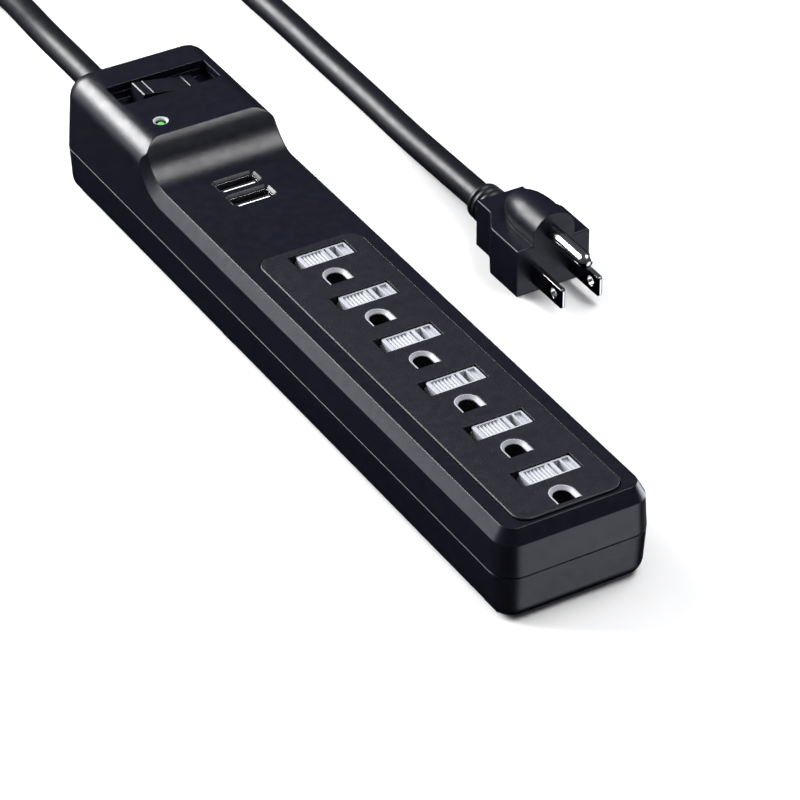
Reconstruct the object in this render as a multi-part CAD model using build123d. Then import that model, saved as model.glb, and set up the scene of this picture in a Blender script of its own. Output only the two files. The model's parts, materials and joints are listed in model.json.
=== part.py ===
from build123d import *
import math
import os

# Six-outlet power strip with a raised switch end, two USB sockets and a moulded plug on its cord.
# Millimetres. X runs across the strip, Y along it towards the cord end, Z up from the surface it
# lies on. The origin is on that surface, under the middle of the housing.

# ---- housing ----
WIDTH = 48.0                  # at the joint between the two covers
LENGTH = 255.0
CORNER = 7.0                  # plan corner radius at the joint
DRAFT = 3.5                   # mould draft of the side walls, degrees
JOINT_Z = 15.1                # height of the joint between the covers
JOINT_GAP = 0.35              # shadow gap round the joint, its height and depth
DECK_Z = 29.2                 # low deck that carries the outlets
BLOCK_Z = 39.6                # raised switch end
BEVEL_DROP = 4.2              # steep bevel round the deck
BEVEL_IN = 2.3
BLOCK_ROUND = 8.0             # round of the raised end's top edges
BASE_ROUND = 4.8              # round of the bottom edges
WALL = 2.2
RAMP_FOOT_Y = 70.9            # where the ramp's slope line meets the deck
RAMP_ANGLE = 56.0
RAMP_BLEND = 13.1             # radius of the hollow between deck and ramp
BAND_Y = 76.65                # foot of the bevelled band at the crest
BAND_TOP_Y = 79.0
BAND_Z = DECK_Z + (BAND_Y - RAMP_FOOT_Y) * math.tan(math.radians(RAMP_ANGLE))

# ---- outlet panel and sliding shutters ----
PANEL_W = 33.0
PANEL_Y0 = -123.3
PANEL_Y1 = 19.3
PANEL_CORNER = 4.5
PANEL_TOP = 29.8
PANEL_PLATE = 2.0             # thickness of the plate that lies in the deck
PANEL_BODY_W = 29.0           # narrower body under the plate
PANEL_BOTTOM = 24.3
PANEL_GAP = 0.35              # groove round the panel
OUTLETS = 6
OUTLET_PITCH = 24.0
OUTLET_FAR_Y = 12.9           # blade line of the outlet nearest the cord
BLADE_X = 6.35                # half of the blade spacing
WINDOW_X0 = -7.6
WINDOW_X1 = 11.1
WINDOW_D = 7.1
POCKET_Z = 26.3               # floor of the shutter pocket
LIP_Z = 27.6                  # underside of the lips that hold the shutter down
LIP_IN = 0.8
SLOT_W = 2.2
SLOT_D = 6.8
SHUTTER_GAP = 0.15
SHUTTER_TRAVEL = 2.5
SHUTTER_TOP = 29.35
TEETH = 6                     # saw teeth of the shutter's grip
TOOTH_PITCH = 1.12
TOOTH_DEPTH = 1.2
GROUND_R = 2.9
GROUND_FLAT = -14.4           # flat side of the ground hole, from the blade line
GROUND_TOP = -7.85            # top of its arch, from the blade line
GROUND_BEVEL = 0.95           # bevel round the arch
GROUND_OFFSET = 11.9          # ground contact from the blade line

# ---- USB sockets ----
USB_Y = (60.2, 51.4)
USB_OPEN = (12.0, 4.3)        # inside of the socket's shell
USB_RIM = (14.4, 6.6)         # outside of the bevelled rim in the deck
USB_DEPTH = 13.6
USB_SHEET = 0.35
USB_FUNNEL = 1.0              # depth of the bevelled rim

# ---- switch and indicator ----
SWITCH_Y = 104.9
SWITCH_WIN = (32.8, 11.4)
SWITCH_FLOOR = 34.4           # floor of the well round the rocker
SWITCH_BOTTOM = 20.5
ROCKER_HOLE = (21.8, 8.4)
ROCKER_W = 7.8
ROCKER_HALF = 10.0
ROCKER_FACE = 8.1             # level of the rocker's top face above its pin
PIVOT_Z = 30.5
PIVOT_R = 1.25
ROCKER_TILT = 9.0             # either way from level
LED_XY = (-10.9, 86.1)
LED_R = 1.5
LED_DEPTH = 0.7               # top of the dome below the cover
LED_HOLE_R = 1.85
LED_BEVEL = 0.55

# ---- contact bars ----
TRAY_Z = 8.0
TRAY_H = 13.0
BAR_Z = 10.0
BAR_T = 0.8
BAR_START_Y = -122.6
BAR_END_Y = 19.6
LEAF_TOP = 22.5

# ---- cord ----
CORD_D = 8.8
CORD_R = CORD_D / 2
CORD_Z = 15.1                 # height at which the cord leaves the housing
BUSHING_LENGTH = 16.0
BUSHING_Y = 121.6             # inner face of the cord bushing
BUSHING_NECK_R = 5.6
COIL_XY = (43.0, 300.0)
COIL_OUT = 58.5               # radius of the outermost turn
COIL_IN = 38.25               # radius of the innermost turn
COIL_LAYER = 8.9              # height between the coil's two layers

# ---- plug ----
PLUG_X = 74.2
PLUG_FACE_Y = 3.9
PLUG_W = 24.8
PLUG_L = 30.0
PLUG_H = 15.7
PLUG_TAIL_W = 16.0
PLUG_WAIST = (15.0, 22.5)     # where the body starts and ends narrowing, from the face
PLUG_BEND = 3.5
HUMP_R = 7.2
HUMP_Z = 17.8
BLADE_Z = 6.3
GROUND_PIN_Z = BLADE_Z + 11.9
BLADE = (1.5, 15.9, 6.35)     # thickness, length, width
GROUND_PIN_R = 2.4
GROUND_PIN_L = 19.05
RELIEF_L = 10.0
CORD_PLUG_Z = 7.9

# ---- inside of the covers ----
INNER_W = 42.4
INNER_L = 249.4
INNER_CORNER = 4.5
DECK_THICK = 3.0
TOP_THICK = 2.6
BLOCK_SPACE_Y = 82.5          # where the space under the raised end starts
BLOCK_SPACE = (               # its two steps under the round: half width, far end, roof
    (20.3, 123.5, 33.0),
    (17.8, 121.0, BLOCK_Z - TOP_THICK),
)

# ---- screws and hanging slots ----
BOSS_XY = [(x, y) for x in (-18.2, 18.2) for y in (-117.0, 28.0, 117.0)]
BOSS_R = 3.1
SCREW_R = 1.4
SCREW_HEAD_R = 2.7
SCREW_SEAT_Z = 6.0            # where a screw head bears in the bottom cover
SCREW_TOP_Z = 24.0
KEYHOLE_Y = 85.0
KEY_SLOT_R = 2.1
KEY_HEAD_R = 4.2
KEY_SLOT_L = 7.0

# ---- boards and wiring ----
BOARD_T = 1.6
USB_BOARD_Z = 13.1
SURGE_BOARD_Z = 8.0
BOARD_POSTS = [(x, y) for x in (-15.0, 15.0) for y in (44.0, 76.0)]
SURGE_POSTS = [(x, y) for x in (-12.0, 12.0) for y in (25.0, 39.0)]
TRAY_RIB_Y = (-110.0, -60.0, -10.0, 14.0)
TAB_X = (4.0, 10.5)           # switch terminals
TAB_Z = 11.5
LEAD_END_Y = 21.3             # where the leads rise to the contact bars
LEAD_LOW_Z = 5.5
LEAD_END_Z = 10.4

BACK_Y = LENGTH / 2


def outlet_y(k):
    """Blade line of outlet k, counted from the cord end."""
    return OUTLET_FAR_Y - k * OUTLET_PITCH


def block(x0, x1, y0, y1, z0, z1):
    """Box between two corners."""
    return Pos((x0 + x1) / 2, (y0 + y1) / 2, (z0 + z1) / 2) * Box(x1 - x0, y1 - y0, z1 - z0)


def rod(x, y, z0, z1, r):
    """Upright cylinder."""
    return Pos(x, y, (z0 + z1) / 2) * Cylinder(r, z1 - z0)


def plan(width, length, radius, z):
    """Rounded rectangle on the level z."""
    return Plane.XY.offset(z) * RectangleRounded(width, length, radius)


# ---------------------------------------------------------------- housing covers

def side_in(height):
    """How far the draft brings a wall in over a height."""
    return height * math.tan(math.radians(DRAFT))


def ramp_profile():
    """Outline in the YZ plane of what is cleared away above the deck and the ramp."""
    half = math.radians(RAMP_ANGLE) / 2
    reach = RAMP_BLEND * math.tan(half)
    slope = math.radians(RAMP_ANGLE)
    foot = (RAMP_FOOT_Y - reach, DECK_Z)
    rise = (RAMP_FOOT_Y + reach * math.cos(slope), DECK_Z + reach * math.sin(slope))
    high = BLOCK_Z + 20
    line = Line((-BACK_Y - 20, DECK_Z), foot)
    blend = RadiusArc(foot, rise, -RAMP_BLEND)
    top = Polyline(rise, (BAND_Y, BAND_Z), (BAND_TOP_Y, BLOCK_Z), (BAND_TOP_Y, high),
                   (-BACK_Y - 20, high), (-BACK_Y - 20, DECK_Z))
    return make_face(Plane.YZ * (Curve() + [line, blend, top]))


def bevel_path():
    """Deck edge, hollow and ramp edge as one smooth path in the YZ plane."""
    half = math.radians(RAMP_ANGLE) / 2
    reach = RAMP_BLEND * math.tan(half)
    slope = math.radians(RAMP_ANGLE)
    far = 30.0
    start = (0.0, DECK_Z)
    foot = (RAMP_FOOT_Y - reach, DECK_Z)
    rise = (RAMP_FOOT_Y + reach * math.cos(slope), DECK_Z + reach * math.sin(slope))
    end = (rise[0] + far * math.cos(slope), rise[1] + far * math.sin(slope))
    return Plane.YZ * (Line(start, foot) + RadiusArc(foot, rise, -RAMP_BLEND) + Line(rise, end))


def upper_outside():
    """Outer form of the top cover: bevelled deck, ramp and rounded switch end."""
    low = DECK_Z - BEVEL_DROP
    wall = extrude(plan(WIDTH, LENGTH, CORNER, JOINT_Z), low - JOINT_Z, taper=DRAFT)
    inset = side_in(low - JOINT_Z)
    bevel = extrude(
        plan(WIDTH - 2 * inset, LENGTH - 2 * inset, CORNER - inset, low),
        BEVEL_DROP,
        taper=math.degrees(math.atan2(BEVEL_IN, BEVEL_DROP)),
    )
    tall = extrude(plan(WIDTH, LENGTH, CORNER, JOINT_Z), BLOCK_Z - JOINT_Z, taper=DRAFT)
    tall = fillet(tall.edges().filter_by_position(Axis.Z, BLOCK_Z - 0.1, BLOCK_Z + 0.1), BLOCK_ROUND)
    tall -= extrude(ramp_profile(), WIDTH, both=True)
    tall -= block(-WIDTH, WIDTH, -BACK_Y - 1, 45, 0, BLOCK_Z + 5)
    half = WIDTH / 2 - inset
    for side in (-1, 1):
        section = make_face(Polyline(
            (side * (half - BEVEL_IN), 0, DECK_Z), (side * (half + 4), 0, DECK_Z),
            (side * (half + 4), 0, DECK_Z - BEVEL_DROP * (1 + 4 / BEVEL_IN)),
            (side * (half - BEVEL_IN), 0, DECK_Z)))
        tall -= sweep(section, path=bevel_path())
    return wall + bevel + tall


def hollow(z0, z1):
    """Space inside the covers between two levels."""
    return extrude(plan(INNER_W, INNER_L, INNER_CORNER, z0), z1 - z0)


def cord_hole():
    """Round hole in the end wall, half in each cover."""
    return Pos(0, BACK_Y - 1, CORD_Z) * Rot(90, 0, 0) * Cylinder(BUSHING_NECK_R, 12)


def top_cover():
    """Upper shell: deck, ramp and switch end, open underneath."""
    shell = upper_outside()
    shell -= hollow(JOINT_Z - 1, DECK_Z - DECK_THICK)
    for half, far_y, roof in BLOCK_SPACE:
        shell -= block(-half, half, BLOCK_SPACE_Y, far_y, DECK_Z - DECK_THICK - 1, roof)
    for x, y in BOSS_XY:
        roof = BLOCK_SPACE[0][2] if y > BAND_TOP_Y else DECK_Z - DECK_THICK
        shell += rod(x, y, JOINT_Z, roof + 0.5, BOSS_R)
        shell -= rod(x, y, JOINT_Z - 1, JOINT_Z + 10, SCREW_R)
    middle = (PANEL_Y0 + PANEL_Y1) / 2
    long = PANEL_Y1 - PANEL_Y0
    gap = 2 * PANEL_GAP
    seat = plan(PANEL_W + gap, long + gap, PANEL_CORNER + PANEL_GAP, PANEL_TOP - PANEL_PLATE)
    shell -= Pos(0, middle, 0) * extrude(seat, 5)
    way = plan(PANEL_BODY_W + 0.5, long - 3.5, 3, DECK_Z - DECK_THICK - 1)
    shell -= Pos(0, middle, 0) * extrude(way, 5)
    for y in USB_Y:
        rim = extrude(plan(*USB_RIM, 1.5, DECK_Z + 0.01), -USB_FUNNEL, taper=44)
        shell -= Pos(0, y, 0) * rim
        shell -= block(-6.8, 6.8, y - 3.05, y + 3.05, DECK_Z - 5, DECK_Z - 0.9)
    shell -= rod(*LED_XY, BLOCK_Z - 5, BLOCK_Z + 1, LED_HOLE_R)
    shell -= Pos(*LED_XY, BLOCK_Z - LED_BEVEL / 2) * Cone(LED_HOLE_R, LED_HOLE_R + LED_BEVEL, LED_BEVEL)
    window = plan(*SWITCH_WIN, 1.0, BLOCK_Z - 6)
    shell -= Pos(0, SWITCH_Y, 0) * extrude(window, 8)
    return shell - cord_hole()


def lower_outside():
    """Outer form of the bottom cover, with drafted walls and a rounded foot."""
    body = extrude(plan(WIDTH, LENGTH, CORNER, JOINT_Z), -JOINT_Z, taper=DRAFT)
    body = fillet(body.edges().filter_by_position(Axis.Z, -0.1, 0.1), BASE_ROUND)
    less = 2 * JOINT_GAP
    around = extrude(plan(WIDTH + 2, LENGTH + 2, CORNER + 1, JOINT_Z - JOINT_GAP), JOINT_GAP + 1)
    inside = extrude(plan(WIDTH - less, LENGTH - less, CORNER - JOINT_GAP, JOINT_Z - 1), 3)
    return body - (around - inside)


def keyhole(y):
    """Hanging slot: a round entry for a screw head and a narrow slot for its shank."""
    entry = rod(0, y - KEY_SLOT_L / 2 - 2.0, -1, WALL + 1, KEY_HEAD_R)
    slot = Pos(0, y, -1) * extrude(Rot(0, 0, 90) * SlotOverall(KEY_SLOT_L, 2 * KEY_SLOT_R), WALL + 2)
    return entry + slot + block(-KEY_SLOT_R, KEY_SLOT_R, y - 5, y, -1, WALL + 1)


def bottom_cover():
    """Lower shell with screw bosses, board posts, tray ribs and two keyholes."""
    shell = lower_outside() - hollow(WALL, JOINT_Z + 1)
    for x, y in BOSS_XY:
        shell += rod(x, y, 0, JOINT_Z, BOSS_R + 1.2) & hollow(0, JOINT_Z)
        shell -= rod(x, y, -1, SCREW_SEAT_Z, SCREW_HEAD_R + 0.25)
        shell -= rod(x, y, -1, JOINT_Z + 1, SCREW_R + 0.3)
    for y in TRAY_RIB_Y:
        shell += block(-13, 13, y - 0.8, y + 0.8, WALL - 0.2, TRAY_Z)
    for x, y in BOARD_POSTS:
        shell += rod(x, y, WALL - 0.2, USB_BOARD_Z, 1.8)
    for x, y in SURGE_POSTS:
        shell += rod(x, y, WALL - 0.2, SURGE_BOARD_Z, 1.6)
    for y in (-KEYHOLE_Y, KEYHOLE_Y):
        shell -= keyhole(y)
    return shell - cord_hole()


def housing_screws():
    """Six pan-head screws that clamp the covers together."""
    screws = []
    for x, y in BOSS_XY:
        shank = rod(x, y, SCREW_SEAT_Z, SCREW_TOP_Z, SCREW_R)
        head = rod(x, y, SCREW_SEAT_Z - 1.8, SCREW_SEAT_Z, SCREW_HEAD_R)
        cross = block(x - 1.6, x + 1.6, y - 0.35, y + 0.35, 0, SCREW_SEAT_Z - 1.0)
        cross += block(x - 0.35, x + 0.35, y - 1.6, y + 1.6, 0, SCREW_SEAT_Z - 1.0)
        screws.append(shank + head - cross)
    return Compound(children=screws)


# ---------------------------------------------------------------- outlet panel and shutters

def ground_outline(z):
    """Arch with a flat side, on the level z, its round centre on the origin."""
    flat = GROUND_FLAT - GROUND_TOP + GROUND_R
    arc = RadiusArc((-GROUND_R, 0), (GROUND_R, 0), GROUND_R)
    foot = Polyline((GROUND_R, 0), (GROUND_R, flat), (-GROUND_R, flat), (-GROUND_R, 0))
    return Plane.XY.offset(z) * make_face(Curve() + [arc, foot])


def ground_hole(y):
    """Arch-shaped ground opening, bevelled, flat on the side away from the blade slots."""
    way = extrude(ground_outline(PANEL_BOTTOM - 1), PANEL_TOP - PANEL_BOTTOM + 2)
    bevel = extrude(ground_outline(PANEL_TOP - GROUND_BEVEL), GROUND_BEVEL + 0.01, taper=-45)
    bevel -= block(-9, 9, -20, GROUND_FLAT - GROUND_TOP + GROUND_R - 0.25, 0, PANEL_TOP + 1)
    return Pos(0, y + GROUND_TOP - GROUND_R, 0) * (way + bevel)


def outlet_panel():
    """Textured plate with six shutter pockets, blade slots and ground openings."""
    long = PANEL_Y1 - PANEL_Y0
    middle = Pos(0, (PANEL_Y0 + PANEL_Y1) / 2, 0)
    plate = extrude(plan(PANEL_W, long, PANEL_CORNER, PANEL_TOP - PANEL_PLATE), PANEL_PLATE)
    plate = fillet(plate.edges().filter_by_position(Axis.Z, PANEL_TOP - 0.1, PANEL_TOP + 0.1), 0.4)
    body = extrude(plan(PANEL_BODY_W, long - 4, 3, PANEL_BOTTOM), PANEL_TOP - PANEL_BOTTOM - 1)
    panel = middle * (plate + body)
    half = WINDOW_D / 2
    for k in range(OUTLETS):
        y = outlet_y(k)
        panel -= block(WINDOW_X0, WINDOW_X1, y - half, y + half, POCKET_Z, PANEL_TOP + 1)
        rail = half + LIP_IN
        panel -= block(WINDOW_X0, WINDOW_X1, y - rail, y + rail, POCKET_Z, LIP_Z)
        for x in (-BLADE_X, BLADE_X):
            panel -= block(x - SLOT_W / 2, x + SLOT_W / 2, y - SLOT_D / 2, y + SLOT_D / 2,
                           PANEL_BOTTOM - 1, POCKET_Z + 1)
        panel -= ground_hole(y)
    return panel


def shutter(k):
    """Sliding safety cover of outlet k, with a serrated grip and the hot blade's slot."""
    y = outlet_y(k)
    half = WINDOW_D / 2 - SHUTTER_GAP
    low = POCKET_Z + 0.05
    x0 = WINDOW_X0 + SHUTTER_TRAVEL + 0.1
    x1 = WINDOW_X1 - 0.3
    middle = (x0 + x1) / 2
    body = extrude(plan(x1 - x0, 2 * half, 0.7, low), SHUTTER_TOP - low)
    body = fillet(body.edges().filter_by_position(Axis.Z, SHUTTER_TOP - 0.1, SHUTTER_TOP + 0.1), 0.2)
    body = Pos(middle, y, 0) * body
    rail = half + LIP_IN - 0.15
    body += block(x0, x1 - 0.5, y - rail, y + rail, low, LIP_Z - 0.25)
    grip0 = x0 + 1.2
    inner = half - 0.75
    floor = SHUTTER_TOP - TOOTH_DEPTH
    grip1 = grip0 + TEETH * TOOTH_PITCH
    body -= block(grip0, grip1, y - inner, y + inner, floor, SHUTTER_TOP + 1)
    for n in range(TEETH):
        x = grip0 + n * TOOTH_PITCH
        crest = x + TOOTH_PITCH - 0.12
        tooth = Polyline((x, 0, floor - 0.05), (crest, 0, floor - 0.05),
                         (crest, 0, SHUTTER_TOP - 0.05), (x, 0, floor - 0.05))
        body += Pos(0, y, 0) * extrude(make_face(tooth), inner, both=True)
    rib0 = grip1 + 0.65
    body -= block(rib0, rib0 + 0.7, y - inner, y + inner, SHUTTER_TOP - 0.9, SHUTTER_TOP + 1)
    body -= block(BLADE_X - 1.0, BLADE_X + 1.0, y - inner, y + inner, low - 1, SHUTTER_TOP + 1)
    body -= block(BLADE_X + 1.6, x1 - 0.7, y - inner, y + inner, SHUTTER_TOP - 0.8, SHUTTER_TOP + 1)
    return body


# ---------------------------------------------------------------- contacts under the panel

def blade_bar(x):
    """Brass bar with a pair of spring leaves for the blade of each outlet."""
    bar = block(x - 2.6, x + 2.6, BAR_START_Y, BAR_END_Y, BAR_Z, BAR_Z + BAR_T)
    for k in range(OUTLETS):
        y = outlet_y(k)
        for side in (-1, 1):
            near = x + side * 1.1
            far = x + side * 1.7
            bar += block(min(near, far), max(near, far), y - 3.4, y + 3.4, BAR_Z, LEAF_TOP)
    return bar


def ground_bar():
    """Brass bar with a pair of leaves for the ground pin of each outlet."""
    bar = block(-2.5, 2.5, BAR_START_Y, BAR_END_Y, BAR_Z, BAR_Z + BAR_T)
    for k in range(OUTLETS):
        y = outlet_y(k) - GROUND_OFFSET
        for side in (-1, 1):
            near = y + side * 2.6
            far = y + side * 3.2
            bar += block(-2.5, 2.5, min(near, far), max(near, far), BAR_Z, LEAF_TOP)
    return bar


def contact_tray():
    """Insulating tray with a channel for each of the three bars."""
    tray = block(-12, 12, -123.6, 19, TRAY_Z, TRAY_Z + TRAY_H)
    for x, half in ((-BLADE_X, 2.75), (0, 2.65), (BLADE_X, 2.75)):
        tray -= block(x - half, x + half, BAR_START_Y - 0.2, 20, BAR_Z, TRAY_Z + TRAY_H + 1)
    return tray


# ---------------------------------------------------------------- USB supply

def usb_shell(y):
    """Folded sheet-metal shell of a USB socket, mouth up."""
    wide, deep = USB_OPEN
    top = DECK_Z - 0.9
    outer = extrude(plan(wide + 2 * USB_SHEET, deep + 2 * USB_SHEET, 0.7, top), -USB_DEPTH + 0.4)
    inner = extrude(plan(wide, deep, 0.4, top + 1), -USB_DEPTH)
    return Pos(0, y, 0) * (outer - inner)


def usb_tongue(y):
    """Contact tongue inside a USB socket."""
    foot = DECK_Z - 0.9 - USB_DEPTH + 1.0
    return block(-5.6, 5.6, y - 1.85, y - 0.05, foot, DECK_Z - 1.5)


def usb_board():
    """Circuit board of the USB supply."""
    return block(-17, 17, 41, 80, USB_BOARD_Z, USB_BOARD_Z + BOARD_T)


def transformer_core():
    """Ferrite core of the USB supply's transformer."""
    z = USB_BOARD_Z + BOARD_T
    frame = block(-11, 3, 67, 79, z, z + 10.5)
    return frame - block(-8.6, 0.6, 66, 80, z + 2.0, z + 8.5)


def transformer_winding():
    """Taped winding in the middle of the core."""
    z = USB_BOARD_Z + BOARD_T
    return block(-8.5, 0.5, 65, 81, z + 2.1, z + 8.4)


def filter_capacitors():
    """Two electrolytic cans beside the transformer."""
    z = USB_BOARD_Z + BOARD_T
    return Compound(children=[rod(x, 73, z, z + 10, 3.3) for x in (6.8, 13.6)])


# ---------------------------------------------------------------- surge board

def surge_board():
    """Circuit board that carries the surge protection."""
    return block(-13.5, 13.5, 23.5, 40.5, SURGE_BOARD_Z, SURGE_BOARD_Z + BOARD_T)


def varistors():
    """Three varistor discs standing on the surge board."""
    z = SURGE_BOARD_Z + BOARD_T
    disc = Rot(90, 0, 0) * Cylinder(6.0, 4.0)
    return Compound(children=[Pos(x, y, z + 6.0) * disc for x, y in ((-7, 26), (7, 26), (-7, 31.5))])


def suppression_capacitor():
    """Boxed film capacitor across the line."""
    z = SURGE_BOARD_Z + BOARD_T
    return fillet(block(0.5, 13, 32, 38.5, z, z + 11).edges(), 0.5)


def thermal_fuse():
    """Thermal cut-off beside the varistors."""
    return Pos(-7, 37, SURGE_BOARD_Z + BOARD_T + 1.7) * Rot(0, 90, 0) * Cylinder(1.7, 10)


# ---------------------------------------------------------------- switch and indicator

def switch_housing():
    """Body of the rocker switch: the well that shows in the cover and the pivot walls."""
    low = block(-17.6, 17.6, SWITCH_Y - 7.7, SWITCH_Y + 7.7, SWITCH_BOTTOM, BLOCK_Z - TOP_THICK)
    well = plan(*SWITCH_WIN, 1.0, SWITCH_FLOOR)
    low -= Pos(0, SWITCH_Y, 0) * extrude(well, 8)
    low -= block(-ROCKER_HOLE[0] / 2, ROCKER_HOLE[0] / 2, SWITCH_Y - ROCKER_HOLE[1] / 2,
                 SWITCH_Y + ROCKER_HOLE[1] / 2, SWITCH_BOTTOM + 2, BLOCK_Z)
    return low - Pos(0, SWITCH_Y, PIVOT_Z) * Rot(90, 0, 0) * Cylinder(PIVOT_R + 0.02, 20)


def rocker():
    """Rocker button, tipped with its left end up; it turns on a pin along Y."""
    half = ROCKER_HALF
    face = ROCKER_FACE
    right = [(half, -0.5), (half, face - 0.3), (half - 0.3, face), (half - 3.2, face),
             (half - 3.35, face + 0.25), (half - 3.75, face + 0.25), (half - 3.9, face)]
    left = [(-x, z) for x, z in reversed(right)]
    outline = [(-3.5, -4.2), (3.5, -4.2)] + right + left
    section = make_face(Plane.XZ * Polyline(*outline, close=True))
    body = extrude(section, ROCKER_W / 2, both=True)
    body -= Rot(90, 0, 0) * Cylinder(PIVOT_R + 0.05, 20)
    return Pos(0, SWITCH_Y, PIVOT_Z) * Rot(0, ROCKER_TILT, 0) * body


def rocker_pin():
    """Steel pin that the rocker turns on."""
    return Pos(0, SWITCH_Y, PIVOT_Z) * Rot(90, 0, 0) * Cylinder(PIVOT_R, 15)


def switch_terminals():
    """Two brass tabs under the switch."""
    tabs = [block(x - 0.4, x + 0.4, SWITCH_Y - 3, SWITCH_Y + 3, TAB_Z, SWITCH_BOTTOM) for x in TAB_X]
    return Compound(children=tabs)


def indicator_led():
    """Small dome LED that looks out of the raised end."""
    x, y = LED_XY
    middle = BLOCK_Z - LED_DEPTH - LED_R
    dome = Pos(x, y, middle) * Sphere(LED_R)
    barrel = rod(x, y, BLOCK_Z - 6, middle, LED_R)
    return dome + barrel + rod(x, y, BLOCK_Z - 6.8, BLOCK_Z - 5.8, LED_R + 0.3)


def led_leads():
    """Two wire legs of the LED."""
    x, y = LED_XY
    return Compound(children=[rod(x + s, y, BLOCK_Z - 13, BLOCK_Z - 6.8, 0.3) for s in (-0.9, 0.9)])


# ---------------------------------------------------------------- wiring

def wire(points, bend, r=1.2):
    """Insulated lead along straight runs joined by arcs."""
    path = FilletPolyline(*points, radius=bend)
    start = Plane(origin=path @ 0, z_dir=path % 0)
    return sweep(start * Circle(r), path=path)


def bar_end(x):
    """Last points of a lead: along the floor, up and on to its contact bar."""
    return [(x, LEAD_END_Y, LEAD_LOW_Z), (x, LEAD_END_Y, LEAD_END_Z), (x, BAR_END_Y, LEAD_END_Z)]


def hot_lead():
    """Lead from the cord to the switch."""
    x = TAB_X[1]
    return wire([(2.8, BUSHING_Y, CORD_Z), (2.8, 117, CORD_Z), (x, 112, 7.5), (x, SWITCH_Y, 7.5),
                 (x, SWITCH_Y, TAB_Z)], 1.6)


def switched_lead():
    """Lead from the switch to the hot bar."""
    x = TAB_X[0]
    return wire([(x, SWITCH_Y, TAB_Z), (x, SWITCH_Y, LEAD_LOW_Z), (BLADE_X, 97, LEAD_LOW_Z),
                 *bar_end(BLADE_X)], 1.3)


def neutral_lead():
    """Lead from the cord to the neutral bar."""
    return wire([(-2.8, BUSHING_Y, CORD_Z), (-2.8, 117, CORD_Z), (-BLADE_X, 111, LEAD_LOW_Z),
                 *bar_end(-BLADE_X)], 1.3)


def ground_lead():
    """Lead from the cord to the ground bar."""
    return wire([(0, BUSHING_Y, 12.2), (0, 117, 12.2), (0, 112, 9.2), (0, 76, 9.2), (0, 68, LEAD_LOW_Z),
                 *bar_end(0)], 1.3)


# ---------------------------------------------------------------- cord

def ribbed(y0, y1, r0, r1, ribs, neck):
    """Tapered strain relief along Y with round ribs, solid, on the Y axis."""
    pitch = (y1 - y0) / ribs
    body = None
    for n in range(ribs):
        here = y0 + n * pitch
        t0 = r0 + (r1 - r0) * n / ribs
        t1 = r0 + (r1 - r0) * (n + 1) / ribs
        rib = Pos(0, here + pitch * 0.31, 0) * Rot(-90, 0, 0) * Cone(t0, t1, pitch * 0.62)
        gap = Pos(0, here + pitch * 0.81, 0) * Rot(-90, 0, 0) * Cone(t0 - neck, t1 - neck, pitch * 0.38)
        body = rib + gap if body is None else body + rib + gap
    return body


def cord_bushing():
    """Strain relief where the cord leaves the housing, with the flange that the covers hold."""
    flange = Pos(0, BUSHING_Y + 1.2, CORD_Z) * Rot(90, 0, 0) * Cylinder(8.0, 2.4)
    neck = Pos(0, BACK_Y - 1.7, CORD_Z) * Rot(90, 0, 0) * Cylinder(BUSHING_NECK_R - 0.05, 4.6)
    collar = Pos(0, BACK_Y + 1.4, CORD_Z) * Rot(90, 0, 0) * Cylinder(7.4, 2.0)
    tail = Pos(0, 0, CORD_Z) * ribbed(BACK_Y + 2.4, BACK_Y + BUSHING_LENGTH, 6.4, 5.3, 3, 0.7)
    return flange + neck + collar + tail


# Route of the cord from the housing to the coil. The coil's first turn starts at the last point.
ROUTE_OUT = [
    (0.0, BACK_Y + BUSHING_LENGTH, CORD_Z),
    (0.3, 165.4, 15.0),
    (1.4, 188.0, 13.3),
    (5.2, 210.0, 8.9),
    (8.2, 232.0, 5.2),
    (4.0, 258.0, 4.5),
    (-9.5, 279.0, 4.6),
    (-15.5, 300.0, 4.5),
]

# Route of the cord from the coil to the plug. The coil's last turn ends at the first point.
ROUTE_BACK = [
    (101.5, 300.0, 13.3),
    (100.0, 276.0, 12.0),
    (92.0, 253.0, 7.6),
    (81.5, 229.0, 4.8),
    (77.4, 202.0, 4.45),
    (77.7, 172.0, 4.5),
    (77.2, 143.0, 4.45),
    (77.0, 115.0, 4.5),
    (75.8, 91.0, 5.2),
    (74.6, 67.0, 7.0),
    (PLUG_X, PLUG_FACE_Y + PLUG_L + RELIEF_L, CORD_PLUG_Z),
]


def cord_tube(points, name):
    """Plain tube: straight runs joined by arcs as large as the runs allow."""
    spots = [Vector(*p) for p in points]
    radii = []
    for a, b, c in zip(spots, spots[1:], spots[2:]):
        turn = math.radians((b - a).get_angle(c - b))
        short = min((b - a).length, (c - b).length)
        radii.append(0.45 * short / math.tan(turn / 2))
    print(name, "radii", [round(r, 1) for r in radii])
    path = FilletPolyline(*points, radius=radii)
    start = Plane(origin=path @ 0, z_dir=path % 0)
    tube = sweep(start * Circle(CORD_R), path=path)
    print(name, "length", round(path.length, 1), "volume ratio",
          round(tube.volume / (math.pi * CORD_R ** 2 * path.length), 4))
    return tube


def cord_coil():
    """Outer shape of the coiled length: two layers of turns lying flat."""
    high = CORD_D + COIL_LAYER
    ring = rod(*COIL_XY, 0, high, COIL_OUT + CORD_R) - rod(*COIL_XY, -1, high + 1, COIL_IN - CORD_R)
    return fillet(ring.edges(), 3.5)


# ---------------------------------------------------------------- plug

def plug_outline():
    """Plan of the plug body, its face on the X axis and its tail towards +Y."""
    half = PLUG_W / 2
    tail = PLUG_TAIL_W / 2
    right = [(half, 0), (half, PLUG_WAIST[0]), (tail, PLUG_WAIST[1]), (tail, PLUG_L)]
    left = [(-x, y) for x, y in reversed(right)]
    face = make_face(Polyline(*right, *left, close=True))
    bends = [v for v in face.vertices() if 1 < v.Y < PLUG_L - 1]
    return fillet(bends, PLUG_BEND)


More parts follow.
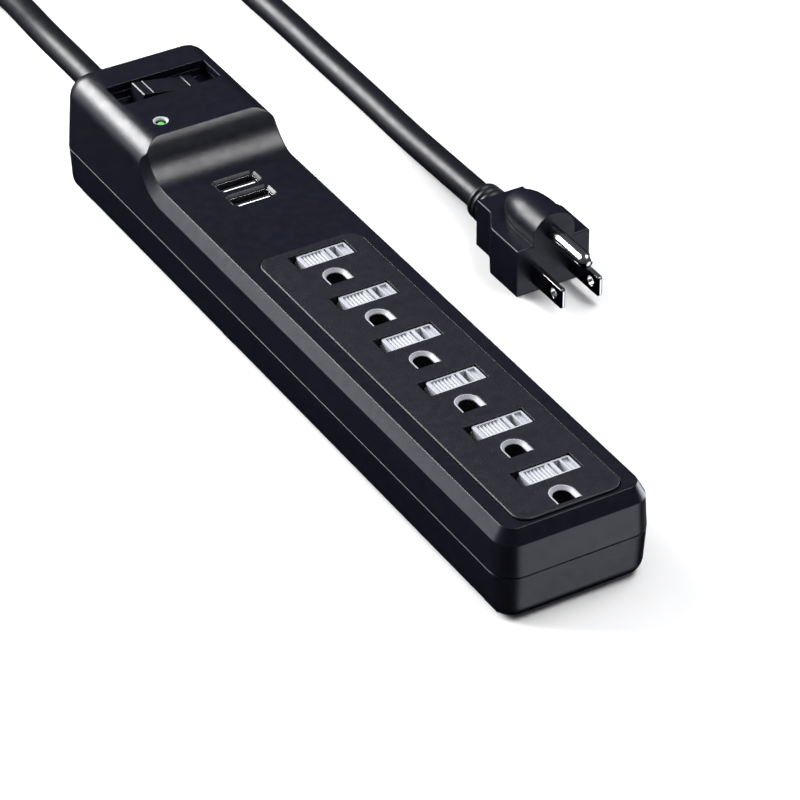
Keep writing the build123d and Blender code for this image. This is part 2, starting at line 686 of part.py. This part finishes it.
def plug_body():
    """Moulded plug body with a rounded hump over the ground pin."""
    base = extrude(plug_outline(), PLUG_H)
    base = fillet(base.edges().filter_by_position(Axis.Z, PLUG_H - 0.1, PLUG_H + 0.1), 0.5)
    straight = 9.0
    barrel = Pos(0, straight / 2, HUMP_Z) * Rot(90, 0, 0) * Cylinder(HUMP_R, straight)
    dome = Pos(0, straight, HUMP_Z) * scale(Sphere(HUMP_R), by=(1, 2.0, 1))
    dome -= Pos(0, straight - 20, HUMP_Z) * Box(40, 40, 40)
    return Pos(PLUG_X, PLUG_FACE_Y, 0) * (base + barrel + dome)


def plug_relief():
    """Ribbed strain relief behind the plug."""
    y0 = PLUG_FACE_Y + PLUG_L
    return Pos(PLUG_X, 0, CORD_PLUG_Z) * ribbed(y0, y0 + RELIEF_L, 6.4, 5.8, 4, 0.7)


def plug_blade(side):
    """Flat blade with a hole near its tip and a bevelled end."""
    thick, long, wide = BLADE
    x = PLUG_X + side * BLADE_X
    tip = PLUG_FACE_Y - long
    blade = block(x - thick / 2, x + thick / 2, tip, PLUG_FACE_Y, BLADE_Z - wide / 2, BLADE_Z + wide / 2)
    blade = chamfer(blade.edges().filter_by_position(Axis.Y, tip - 0.1, tip + 0.1), 0.45)
    return blade - Pos(x, tip + 4.3, BLADE_Z) * Rot(0, 90, 0) * Cylinder(1.6, 5)


def ground_pin():
    """Round ground pin with a domed tip."""
    long = GROUND_PIN_L - GROUND_PIN_R
    pin = Pos(0, -long / 2, 0) * Rot(90, 0, 0) * Cylinder(GROUND_PIN_R, long)
    pin += Pos(0, -long, 0) * Sphere(GROUND_PIN_R)
    return Pos(PLUG_X, PLUG_FACE_Y, GROUND_PIN_Z) * pin


def all_parts():
    """Every piece by the name of its node."""
    parts = {
        "top_cover": top_cover(),
        "bottom_cover": bottom_cover(),
        "housing_screws": housing_screws(),
        "outlet_panel": outlet_panel(),
        "contact_tray": contact_tray(),
        "neutral_bar": blade_bar(-BLADE_X),
        "hot_bar": blade_bar(BLADE_X),
        "ground_bar": ground_bar(),
        "usb_board": usb_board(),
        "transformer_core": transformer_core(),
        "transformer_winding": transformer_winding(),
        "filter_capacitors": filter_capacitors(),
        "surge_board": surge_board(),
        "varistors": varistors(),
        "suppression_capacitor": suppression_capacitor(),
        "thermal_fuse": thermal_fuse(),
        "switch_housing": switch_housing(),
        "rocker": rocker(),
        "rocker_pin": rocker_pin(),
        "switch_terminals": switch_terminals(),
        "indicator_led": indicator_led(),
        "led_leads": led_leads(),
        "hot_lead": hot_lead(),
        "switched_lead": switched_lead(),
        "neutral_lead": neutral_lead(),
        "ground_lead": ground_lead(),
        "cord_bushing": cord_bushing(),
        "cord_to_coil": cord_tube(ROUTE_OUT, "cord_to_coil"),
        "cord_coil": cord_coil(),
        "cord_to_plug": cord_tube(ROUTE_BACK, "cord_to_plug"),
        "plug_relief": plug_relief(),
        "plug_body": plug_body(),
        "plug_neutral_blade": plug_blade(-1),
        "plug_hot_blade": plug_blade(1),
        "plug_ground_pin": ground_pin(),
    }
    for k in range(OUTLETS):
        parts[f"shutter_{k + 1}"] = shutter(k)
    for n, y in enumerate(USB_Y):
        parts[f"usb_shell_{n + 1}"] = usb_shell(y)
        parts[f"usb_tongue_{n + 1}"] = usb_tongue(y)
    return parts


if __name__ == "__main__":
    os.makedirs("parts", exist_ok=True)
    for name, shape in all_parts().items():
        export_step(shape, f"parts/{name}.step")
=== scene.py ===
"""Looks of the six-outlet power strip. Lengths are given in millimetres and turned into metres by MM."""
import json
import math

import bmesh
import bpy
from mathutils import Matrix, Vector


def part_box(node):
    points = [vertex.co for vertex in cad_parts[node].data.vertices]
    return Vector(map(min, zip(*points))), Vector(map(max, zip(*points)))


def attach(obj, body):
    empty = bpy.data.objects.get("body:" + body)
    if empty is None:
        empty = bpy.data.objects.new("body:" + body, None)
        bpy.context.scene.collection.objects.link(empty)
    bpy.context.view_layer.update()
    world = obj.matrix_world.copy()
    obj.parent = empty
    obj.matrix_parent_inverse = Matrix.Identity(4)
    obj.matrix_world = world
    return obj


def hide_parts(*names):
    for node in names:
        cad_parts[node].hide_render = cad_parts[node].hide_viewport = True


MM = 0.001

# ---- camera ----
CAMERA_PLACE = Vector((-0.5017, -0.8861, 0.70859))
CAMERA_FORWARD = Vector((0.41401, 0.70333, -0.57786))
CAMERA_RIGHT = Vector((0.86178, -0.50728, 0.0))
CAMERA_LENS = 195.24

# ---- ground openings ----
OUTLETS = 6
PANEL_TOP = 29.8
GROUND_R = 2.9
GROUND_BEVEL = 0.95
GROUND_FLAT = -3.65           # flat foot, from the arch's centre
GROUND_CENTRE = -10.75        # arch's centre, from the blade line
HIGHLIGHT_SHEET_LIP = 0.35             # depth of the painted-highlight sheet below the bevel
HIGHLIGHT_SHEET_WALL = 0.2

# ---- indicator ----
BLOCK_TOP = 39.6
LED_XY = (-10.9, 86.1)
LED_HOLE_R = 1.85
LED_BEVEL = 0.55
LED_HIGHLIGHT_DEPTH = 0.6            # depth of the painted-highlight sheet below the bevel
LED_HIGHLIGHT_WALL = 0.18

# ---- USB sockets ----
USB_CONTACTS = 4
CONTACT_HALF = 0.55           # half width of a contact strip
CONTACT_IN = 1.6              # middle of the first strip from the tongue's end
LIP_SLOPE = 0.22              # fall of the plated lip towards its near edge

# ---- strain reliefs ----
HOUSING_END_Y = 127.5
BUSHING_NECK_R = 5.55
BUSHING_BORE_R = 1.0          # the capped ends start at this radius
RIB_STEPS = 8

# ---- cord ----
CORD_R = 4.4
COIL_XY = (43.0, 300.0)
COIL_OUT = 58.5
COIL_IN = 38.25
COIL_LOW = 4.45
COIL_HIGH = 13.3
COIL_TURNS = 4.5
COIL_STEPS = 16               # control points in one turn
COIL_RISE = 0.25              # turns in which the cord climbs to the upper layer
ROUTE_OUT = [
    (0.0, 143.5, 15.1),
    (0.3, 165.4, 15.0),
    (1.4, 188.0, 13.3),
    (5.2, 210.0, 8.9),
    (8.2, 232.0, 5.2),
    (4.0, 258.0, 4.5),
    (-9.5, 279.0, 4.6),
    (-15.5, 300.0, 4.5),
]
ROUTE_BACK = [
    (101.5, 300.0, 13.3),
    (100.0, 276.0, 12.0),
    (92.0, 253.0, 7.6),
    (81.5, 229.0, 4.8),
    (77.4, 202.0, 4.45),
    (77.7, 172.0, 4.5),
    (77.2, 143.0, 4.45),
    (77.0, 115.0, 4.5),
    (75.8, 91.0, 5.2),
    (74.6, 67.0, 7.0),
    (74.2, 43.9, 7.9),
]


# ---- stage ----
LIGHT_AIM = Vector((0, 0.05, 0.02))
SKY_COLOUR = (0.86, 0.89, 1.0, 1)
FLOOR_HALF = 6.0
FLOOR_Z = -0.0002

# ---- surfaces ----
NOISE_LOW = 0.3               # most of a noise lies between these two
NOISE_HIGH = 0.7
SHARP_ANGLE = 20              # degrees between faces that stay an edge
WELD = 2e-6                   # metres


# ---------------------------------------------------------------- materials

class Paint:
    """A Principled material and short calls for the nodes that feed it."""

    def __init__(self, name, colour, roughness):
        self.material = bpy.data.materials.new(name)
        self.material.use_nodes = True
        self.nodes = self.material.node_tree.nodes
        self.links = self.material.node_tree.links
        self.shader = self.nodes["Principled BSDF"]
        self.shader.inputs["Base Color"].default_value = (*colour, 1)
        self.shader.inputs["Roughness"].default_value = roughness
        self.place = self.nodes.new("ShaderNodeTexCoord")

    def set(self, **values):
        """Constants on the shader's own sockets; underscores stand for spaces."""
        for socket, value in values.items():
            self.shader.inputs[socket.replace("_", " ")].default_value = value

    def noise(self, size, detail=2.0):
        """Noise with grains of about that size in millimetres."""
        node = self.nodes.new("ShaderNodeTexNoise")
        node.inputs["Scale"].default_value = 1 / (size * MM)
        node.inputs["Detail"].default_value = detail
        self.links.new(self.place.outputs["Object"], node.inputs["Vector"])
        return node.outputs["Fac"]

    def spread(self, source, low, high):
        """Maps the middle of a noise onto low to high."""
        node = self.nodes.new("ShaderNodeMapRange")
        node.inputs["From Min"].default_value = NOISE_LOW
        node.inputs["From Max"].default_value = NOISE_HIGH
        node.inputs["To Min"].default_value = low
        node.inputs["To Max"].default_value = high
        self.links.new(source, node.inputs["Value"])
        return node.outputs["Result"]

    def tint(self, source, dark, light):
        """Colour that drifts between two tones."""
        node = self.nodes.new("ShaderNodeMix")
        node.data_type = "RGBA"
        node.inputs["A"].default_value = (*dark, 1)
        node.inputs["B"].default_value = (*light, 1)
        self.links.new(source, node.inputs["Factor"])
        self.links.new(node.outputs["Result"], self.shader.inputs["Base Color"])

    def rough(self, source, low, high):
        """Roughness that follows a noise."""
        self.links.new(self.spread(source, low, high), self.shader.inputs["Roughness"])

    def relief(self, sources, edge=0.3):
        """Bumps of (noise, depth in mm) pairs, over edges softened by a radius in mm."""
        soft = self.nodes.new("ShaderNodeBevel")
        soft.samples = 6
        soft.inputs["Radius"].default_value = edge * MM
        normal = soft.outputs["Normal"]
        for source, depth in sources:
            bump = self.nodes.new("ShaderNodeBump")
            bump.inputs["Strength"].default_value = 1.0
            bump.inputs["Distance"].default_value = depth * MM
            self.links.new(source, bump.inputs["Height"])
            self.links.new(normal, bump.inputs["Normal"])
            normal = bump.outputs["Normal"]
        self.links.new(normal, self.shader.inputs["Normal"])


def plastic(name, colour, roughness, grain=0.25, depth=0.004, edge=0.3, specular=0.5):
    """Moulded plastic: fine spark-eroded grain, slow drift of tone and gloss. Sizes in mm."""
    paint = Paint(name, colour, roughness)
    paint.set(Specular_IOR_Level=specular)
    paint.tint(paint.noise(18.0), [0.8 * c for c in colour], [1.2 * c for c in colour])
    paint.rough(paint.noise(3.0), roughness - 0.04, roughness + 0.04)
    paint.relief([(paint.noise(grain, 3.0), depth)], edge)
    return paint.material


def metal(name, colour, roughness, edge=0.15, grain=0.4, depth=0.001):
    """Plated or rolled metal with faint wear in its gloss."""
    paint = Paint(name, colour, roughness)
    paint.set(Metallic=1.0)
    paint.tint(paint.noise(6.0), [0.92 * c for c in colour], colour)
    paint.rough(paint.noise(1.2, 4.0), roughness - 0.03, roughness + 0.06)
    paint.relief([(paint.noise(grain, 3.0), depth)], edge)
    return paint.material


def led_glass():
    """Green dome that glows a little."""
    paint = Paint("led_green", (0.10, 0.40, 0.08), 0.3)
    paint.set(Emission_Color=(0.10, 0.42, 0.08, 1), Emission_Strength=0.3)
    paint.tint(paint.noise(1.0), (0.07, 0.36, 0.05), (0.13, 0.5, 0.10))
    paint.relief([(paint.noise(0.6), 0.002)], 0.05)
    return paint.material


def all_materials():
    """Every material by the record's slot name."""
    black = (0.0032, 0.0036, 0.0085)
    return {
        "black_cover": plastic("black_cover", black, 0.32, 0.30, 0.022, 0.35),
        "panel_plastic": plastic("panel_plastic", (0.006, 0.0065, 0.0115), 0.42, 0.40, 0.12, 0.3),
        "rocker_plastic": plastic("rocker_plastic", (0.0045, 0.005, 0.010), 0.34, 0.2, 0.003, 0.15),
        "shutter_grey": plastic("shutter_grey", (0.41, 0.42, 0.46), 0.45, 0.3, 0.001, 0.08, 0.3),
        "tray_plastic": plastic("tray_plastic", (0.62, 0.60, 0.54), 0.45),
        "cord_jacket": plastic("cord_jacket", (0.0032, 0.0036, 0.0065), 0.40, 0.5, 0.0015, 0.1, 0.4),
        "plug_vinyl": plastic("plug_vinyl", (0.0035, 0.004, 0.009), 0.36, 0.3, 0.003, 0.2, 0.3),
        "plated_blade": metal("plated_blade", (0.78, 0.78, 0.80), 0.14),
        "usb_steel": metal("usb_steel", (0.62, 0.63, 0.66), 0.22, 0.08),
        "usb_tongue": plastic("usb_tongue", (0.02, 0.02, 0.024), 0.35, 0.3, 0.002, 0.1),
        "screw_steel": metal("screw_steel", (0.6, 0.6, 0.62), 0.25),
        "contact_brass": metal("contact_brass", (0.72, 0.5, 0.22), 0.28),
        "board_green": plastic("board_green", (0.015, 0.10, 0.035), 0.3, 0.8, 0.01),
        "ferrite": plastic("ferrite", (0.03, 0.03, 0.032), 0.55, 0.3, 0.02),
        "winding_tape": plastic("winding_tape", (0.62, 0.45, 0.06), 0.35, 1.0, 0.02),
        "can_sleeve": plastic("can_sleeve", (0.012, 0.02, 0.09), 0.25),
        "varistor_blue": plastic("varistor_blue", (0.03, 0.10, 0.42), 0.35, 1.2, 0.03),
        "cap_box": plastic("cap_box", (0.55, 0.36, 0.03), 0.4),
        "fuse_case": plastic("fuse_case", (0.5, 0.48, 0.42), 0.5),
        "led_green": led_glass(),
        "lead_black": plastic("lead_black", (0.012, 0.012, 0.012), 0.3),
        "lead_white": plastic("lead_white", (0.7, 0.7, 0.67), 0.35),
        "lead_green": plastic("lead_green", (0.01, 0.16, 0.03), 0.35),
    }


# ---------------------------------------------------------------- helpers

def smoother():
    """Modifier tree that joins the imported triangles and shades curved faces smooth."""
    tree = bpy.data.node_groups.new("smooth_curved_faces", "GeometryNodeTree")
    tree.interface.new_socket("Geometry", in_out="INPUT", socket_type="NodeSocketGeometry")
    tree.interface.new_socket("Geometry", in_out="OUTPUT", socket_type="NodeSocketGeometry")
    new = tree.nodes.new
    start, end = new("NodeGroupInput"), new("NodeGroupOutput")
    weld = new("GeometryNodeMergeByDistance")
    weld.inputs["Distance"].default_value = WELD
    faces = new("GeometryNodeSetShadeSmooth")
    faces.domain = "FACE"
    edges = new("GeometryNodeSetShadeSmooth")
    edges.domain = "EDGE"
    edges.inputs["Shade Smooth"].default_value = False
    angle = new("GeometryNodeInputMeshEdgeAngle")
    sharp = new("FunctionNodeCompare")
    sharp.data_type = "FLOAT"
    sharp.operation = "GREATER_THAN"
    sharp.inputs["B"].default_value = math.radians(SHARP_ANGLE)
    link = tree.links.new
    link(start.outputs[0], weld.inputs["Geometry"])
    link(weld.outputs["Geometry"], faces.inputs["Geometry"])
    link(faces.outputs["Geometry"], edges.inputs["Geometry"])
    link(angle.outputs["Unsigned Angle"], sharp.inputs["A"])
    link(sharp.outputs["Result"], edges.inputs["Selection"])
    link(edges.outputs["Geometry"], end.inputs[0])
    return tree


def finish_cad_nodes(frame, materials):
    """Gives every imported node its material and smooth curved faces."""
    tree = smoother()
    slot_of = {s["node"]: s["material_slot"] for s in frame["record"]["subparts"]}
    for name, node in frame["nodes"].items():
        node.data.materials.clear()
        node.data.materials.append(materials[slot_of[name]])
        modifier = node.modifiers.new("smooth", "NODES")
        modifier.node_group = tree


def make_piece(name, mesh, material, slot, body, *nodes):
    """Object from a mesh, on a body, standing for CAD nodes."""
    piece = bpy.data.objects.new(name, mesh)
    bpy.context.scene.collection.objects.link(piece)
    mesh.materials.append(material)
    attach(piece, body)
    if nodes:
        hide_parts(*nodes)
    return piece


def ring_mesh(name, rings, close=False):
    """Closed skin through rings of points in millimetres; the ends are capped unless closed."""
    shape = bmesh.new()
    loops = [[shape.verts.new(Vector(p) * MM) for p in ring] for ring in rings]
    pairs = list(zip(loops, loops[1:]))
    if close:
        pairs.append((loops[-1], loops[0]))
    for a, b in pairs:
        for i in range(len(a)):
            j = (i + 1) % len(a)
            shape.faces.new((a[i], a[j], b[j], b[i]))
    if not close:
        shape.faces.new(loops[0][::-1])
        shape.faces.new(loops[-1])
    bmesh.ops.recalc_face_normals(shape, faces=shape.faces)
    mesh = bpy.data.meshes.new(name)
    shape.to_mesh(mesh)
    shape.free()
    mesh.shade_smooth()
    return mesh


def circle(a, b, radius, steps):
    """Points of a circle in a plane, as pairs."""
    turns = [2 * math.pi * i / steps for i in range(steps)]
    return [(a + radius * math.cos(t), b + radius * math.sin(t)) for t in turns]


def lathe_y(name, profile, x, z, steps=64):
    """Solid of revolution round a line along Y from (y, radius) pairs."""
    rings = [[(px, y, pz) for px, pz in circle(x, z, radius, steps)] for y, radius in profile]
    return ring_mesh(name, rings)


def ribbed_profile(y0, y1, r0, r1, ribs, depth, wide=0.66):
    """Round-backed ribs along a taper, as (y, radius) pairs."""
    pitch = (y1 - y0) / ribs
    pairs = []
    for n in range(ribs):
        start = y0 + n * pitch
        for i in range(RIB_STEPS + 1):
            t = i / RIB_STEPS
            taper = r0 + (r1 - r0) * (n + t * wide) / ribs
            bulge = math.sqrt(max(0.0, 1 - (2 * t - 1) ** 4))
            pairs.append((start + t * wide * pitch, taper - depth * (1 - bulge)))
        taper = r0 + (r1 - r0) * (n + wide) / ribs
        pairs.append((start + (wide + 0.08) * pitch, taper - depth))
        pairs.append((start + 0.96 * pitch, taper - depth))
    return pairs


# ---------------------------------------------------------------- cord

def coil_points():
    """Turns of the coil: inwards along the floor, then outwards on top."""
    count = int(COIL_TURNS * COIL_STEPS)
    points = []
    for i in range(1, count):
        turn = i / COIL_STEPS
        inward = min(turn, COIL_TURNS - turn) / (COIL_TURNS / 2)
        radius = COIL_OUT + (COIL_IN - COIL_OUT) * inward
        climb = (turn - COIL_TURNS / 2) / COIL_RISE + 0.5
        climb = min(1.0, max(0.0, climb))
        height = COIL_LOW + (COIL_HIGH - COIL_LOW) * climb * climb * (3 - 2 * climb)
        angle = 2 * math.pi * turn
        x = COIL_XY[0] - radius * math.cos(angle)
        points.append((x, COIL_XY[1] + radius * math.sin(angle), height))
    return points


def make_cord(material):
    """The whole cord as one smooth spline, from its bushing through the coil to the plug."""
    points = ROUTE_OUT + coil_points() + ROUTE_BACK
    curve = bpy.data.curves.new("cord", "CURVE")
    curve.dimensions = "3D"
    spline = curve.splines.new("NURBS")
    spline.points.add(len(points) - 1)
    for place, point in zip(spline.points, points):
        place.co = (*(Vector(point) * MM), 1)
    spline.order_u = 3
    spline.use_endpoint_u = True
    curve.resolution_u = 12
    curve.bevel_depth = CORD_R * MM
    curve.bevel_resolution = 10
    curve.use_fill_caps = True
    return make_piece("cord", curve, material, "cord_jacket", "housing",
                      "cord_to_coil", "cord_coil", "cord_to_plug")


def make_bushing(material):
    """Ribbed strain relief at the housing, with its collar and the flange inside."""
    low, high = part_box("cord_bushing")
    y0, y1 = low.y / MM, high.y / MM
    z = (low.z + high.z) / 2 / MM
    wall = HOUSING_END_Y
    flange = [(y0, BUSHING_BORE_R), (y0, 7.6), (y0 + 0.4, 8.0), (y0 + 2.0, 8.0), (y0 + 2.4, 7.6)]
    neck = [(y0 + 2.4, BUSHING_NECK_R), (wall + 0.4, BUSHING_NECK_R)]
    collar = [(wall + 0.4, 7.0), (wall + 0.8, 7.4), (wall + 2.0, 7.4), (wall + 2.4, 7.0)]
    tail = ribbed_profile(wall + 2.5, y1 - 0.4, 6.4, 5.4, 3, 0.8)
    profile = flange + neck + collar + tail + [(y1, 4.9), (y1, BUSHING_BORE_R)]
    mesh = lathe_y("cord_bushing_ribbed", profile, 0.0, z)
    return make_piece("cord_bushing_ribbed", mesh, material, "cord_jacket", "housing", "cord_bushing")


def make_relief(material):
    """Ribbed strain relief behind the plug."""
    low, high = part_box("plug_relief")
    x = (low.x + high.x) / 2 / MM
    z = (low.z + high.z) / 2 / MM
    y0, y1 = low.y / MM, high.y / MM
    ribs = ribbed_profile(y0 + 0.3, y1 - 0.2, 6.4, 5.9, 4, 0.75, 0.8)
    profile = [(y0, BUSHING_BORE_R), (y0, 5.6)] + ribs + [(y1, 4.9), (y1, BUSHING_BORE_R)]
    mesh = lathe_y("plug_relief_ribbed", profile, x, z)
    return make_piece("plug_relief_ribbed", mesh, material, "cord_jacket", "housing", "plug_relief")


# ---------------------------------------------------------------- panel and indicator details

def arch(half, flat, steps=24):
    """Outline of an arch with a flat foot, its round centre on the origin."""
    turn = [math.pi * i / steps for i in range(steps + 1)]
    points = [(half * math.cos(t), half * math.sin(t)) for t in turn]
    return points + [(-half, flat), (half, flat)]


def make_ground_painted_highlight(name, y, material):
    """Light grey sheet over the bevel of a ground opening, a painted highlight for the light the black
    bevel catches: a bevelled arch with a short lip below.
    """
    outer = GROUND_R + GROUND_BEVEL
    inner = GROUND_R - 0.05
    bevel_foot = PANEL_TOP - GROUND_BEVEL
    levels = [
        (outer - 0.12, PANEL_TOP - 0.16),
        (inner, bevel_foot - 0.10),
        (inner, bevel_foot - HIGHLIGHT_SHEET_LIP),
        (inner - HIGHLIGHT_SHEET_WALL, bevel_foot - HIGHLIGHT_SHEET_LIP),
        (inner - HIGHLIGHT_SHEET_WALL, bevel_foot - 0.05),
        (outer - 0.42, PANEL_TOP - 0.10),
    ]
    rings = [[(x, y + dy, z) for x, dy in arch(half, GROUND_FLAT + 0.06)] for half, z in levels]
    mesh = ring_mesh(name, rings, close=True)
    mesh.set_sharp_from_angle(angle=math.radians(35))
    return make_piece(name, mesh, material, "shutter_grey", "housing")


def make_led_painted_highlight(material):
    """Pale sheet over the bevel round the indicator, a painted highlight for the light the black bevel
    catches.
    """
    outer = LED_HOLE_R + LED_BEVEL
    bevel_foot = BLOCK_TOP - LED_BEVEL
    levels = [
        (outer - 0.03, BLOCK_TOP - 0.04),
        (LED_HOLE_R + 0.02, bevel_foot),
        (LED_HOLE_R - 0.05, bevel_foot - LED_HIGHLIGHT_DEPTH),
        (LED_HOLE_R - LED_HIGHLIGHT_WALL, bevel_foot - LED_HIGHLIGHT_DEPTH),
        (LED_HOLE_R - LED_HIGHLIGHT_WALL, bevel_foot + 0.02),
        (outer - LED_HIGHLIGHT_WALL, BLOCK_TOP - 0.02),
    ]
    rings = [[(x, y, z) for x, y in circle(*LED_XY, radius, 48)] for radius, z in levels]
    mesh = ring_mesh("led_painted_highlight", rings, close=True)
    return make_piece("led_painted_highlight", mesh, material, "shutter_grey", "housing")


def add_bar(shape, x0, x1, y0, y1, z0, z1):
    """Adds a bar between two corners in millimetres, and gives its corners back."""
    verts = bmesh.ops.create_cube(shape, size=1.0)["verts"]
    middle = Vector((x0 + x1, y0 + y1, z0 + z1)) / 2
    size = Vector((x1 - x0, y1 - y0, z1 - z0))
    for vert in verts:
        vert.co = (middle + vert.co * size) * MM
    return verts


def make_usb_contacts(name, node, material):
    """Plated lip on top of a USB socket's tongue, and the contact strips on its near face."""
    low, high = [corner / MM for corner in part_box(node)]
    shape = bmesh.new()
    lip = add_bar(shape, low.x + 0.4, high.x - 0.4, low.y - 0.2, low.y + 0.2,
                  high.z - 0.02, high.z + 0.55)
    for vert in lip:
        if vert.co.y < low.y * MM and vert.co.z > high.z * MM:
            vert.co.z -= LIP_SLOPE * MM
    span = high.x - low.x - 2 * CONTACT_IN
    for n in range(USB_CONTACTS):
        x = low.x + CONTACT_IN + n * span / (USB_CONTACTS - 1)
        add_bar(shape, x - CONTACT_HALF, x + CONTACT_HALF, low.y - 0.12, low.y + 0.02,
                high.z - 5.0, high.z - 0.3)
    mesh = bpy.data.meshes.new(name)
    shape.to_mesh(mesh)
    shape.free()
    return make_piece(name, mesh, material, "usb_steel", "housing")


# ---------------------------------------------------------------- stage

def make_camera():
    """Camera at the viewing angle of the product shot."""
    camera = bpy.data.objects.new("camera", bpy.data.cameras.new("camera"))
    bpy.context.scene.collection.objects.link(camera)
    camera.data.lens = CAMERA_LENS
    camera.data.sensor_width = 36.0
    camera.data.clip_end = 20.0
    up = CAMERA_RIGHT.cross(CAMERA_FORWARD)
    turn = Matrix((CAMERA_RIGHT, up, -CAMERA_FORWARD)).transposed()
    camera.matrix_world = Matrix.Translation(CAMERA_PLACE) @ turn.to_4x4()
    bpy.context.scene.camera = camera


def make_light(name, direction, distance, size, radiance):
    """Soft rectangular light, at a distance in a direction from the strip and aimed at it."""
    light = bpy.data.lights.new(name, "AREA")
    light.shape = "RECTANGLE"
    light.size, light.size_y = size
    light.energy = radiance * math.pi * size[0] * size[1]
    lamp = bpy.data.objects.new(name, light)
    bpy.context.scene.collection.objects.link(lamp)
    way = Vector(direction).normalized()
    lamp.location = LIGHT_AIM + way * distance
    lamp.rotation_mode = "QUATERNION"
    lamp.rotation_quaternion = way.to_track_quat("Z", "Y")
    return lamp


class Sky:
    """World light: soft lobes that add up."""

    def __init__(self):
        world = bpy.data.worlds.new("sky")
        bpy.context.scene.world = world
        world.use_nodes = True
        self.nodes = world.node_tree.nodes
        self.links = world.node_tree.links
        self.place = self.nodes.new("ShaderNodeTexCoord").outputs["Generated"]
        self.total = None

    def lobe(self, direction, inner, outer, strength):
        """Light from within inner degrees of a direction, fading out at outer degrees."""
        toward = self.nodes.new("ShaderNodeVectorMath")
        toward.operation = "DOT_PRODUCT"
        toward.inputs[1].default_value = Vector(direction).normalized()
        self.links.new(self.place, toward.inputs[0])
        fade = self.nodes.new("ShaderNodeMapRange")
        fade.interpolation_type = "SMOOTHSTEP"
        fade.inputs["From Min"].default_value = math.cos(math.radians(outer))
        fade.inputs["From Max"].default_value = math.cos(math.radians(inner))
        fade.inputs["To Min"].default_value = 0.0
        fade.inputs["To Max"].default_value = strength
        self.links.new(toward.outputs["Value"], fade.inputs["Value"])
        if self.total is None:
            self.total = fade.outputs["Result"]
            return
        both = self.nodes.new("ShaderNodeMath")
        both.operation = "ADD"
        self.links.new(self.total, both.inputs[0])
        self.links.new(fade.outputs["Result"], both.inputs[1])
        self.total = both.outputs["Value"]

    def finish(self):
        """Feeds the lobes to the background."""
        background = self.nodes["Background"]
        self.links.new(self.total, background.inputs["Strength"])
        background.inputs["Color"].default_value = SKY_COLOUR


def make_floor():
    """Pale floor, just under the strip."""
    mesh = bpy.data.meshes.new("floor")
    half = FLOOR_HALF
    corners = [(-half, -half, 0), (half, -half, 0), (half, half, 0), (-half, half, 0)]
    mesh.from_pydata(corners, [], [(0, 1, 2, 3)])
    floor = bpy.data.objects.new("floor", mesh)
    bpy.context.scene.collection.objects.link(floor)
    paint = Paint("floor", (0.95, 0.95, 0.95), 0.8)
    paint.set(Specular_IOR_Level=0.0)
    mesh.materials.append(paint.material)
    floor.location.z = FLOOR_Z
    floor.visible_glossy = False


def make_stage():
    """Pale floor, soft sky and soft lights."""
    make_floor()
    sky = Sky()
    # a dim dome for the flat tops, then patches that show in the near end, the near right corner
    # and the left bevel
    sky.lobe((0, 0, 1), 60, 100, 0.08)
    sky.lobe((0.41, -0.76, -0.46), 14, 34, 1.6)
    sky.lobe((0.98, 0.13, -0.10), 8, 26, 7.0)
    sky.lobe((-0.70, 0.70, 0.05), 6, 20, 1.6)
    sky.finish()
    # lights that show in the left round of the switch end and in the hollow of the ramp
    make_light("back_left_light", (-0.52, 0.70, 0.47), 1.6, (1.2, 0.8), 19)
    make_light("top_light", (0.41, -0.21, 0.89), 1.5, (1.1, 0.5), 8)
    # a wide one for the floor alone
    wash = make_light("floor_light", (0, 0, 1), 2.0, (3.0, 3.0), 1.1)
    wash.visible_glossy = False


# ---------------------------------------------------------------- scene

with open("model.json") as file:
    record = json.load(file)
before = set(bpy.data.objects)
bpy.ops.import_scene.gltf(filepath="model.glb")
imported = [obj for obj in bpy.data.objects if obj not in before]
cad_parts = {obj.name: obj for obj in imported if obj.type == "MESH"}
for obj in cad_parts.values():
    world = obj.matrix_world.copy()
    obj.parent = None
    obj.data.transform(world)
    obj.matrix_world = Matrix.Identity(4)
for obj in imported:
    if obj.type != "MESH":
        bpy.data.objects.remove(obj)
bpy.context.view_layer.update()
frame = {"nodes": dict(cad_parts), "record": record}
bpy.context.scene.view_settings.view_transform = "Standard"
make_camera()
materials = all_materials()
finish_cad_nodes(frame, materials)

bushing = make_bushing(materials["cord_jacket"])
relief = make_relief(materials["cord_jacket"])
cord = make_cord(materials["cord_jacket"])

# light grey sheets in the ground openings' bevels: painted highlight
for k in range(1, OUTLETS + 1):
    shutter_low, shutter_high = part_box(f"shutter_{k}")
    blade_line = (shutter_low.y + shutter_high.y) / 2 / MM
    make_ground_painted_highlight(f"ground_painted_highlight_{k}", blade_line + GROUND_CENTRE, materials["shutter_grey"])

# pale sheet in the indicator's bevel: painted highlight
make_led_painted_highlight(materials["shutter_grey"])
for n in (1, 2):
    make_usb_contacts(f"usb_contacts_{n}", f"usb_tongue_{n}", materials["usb_steel"])

make_stage()
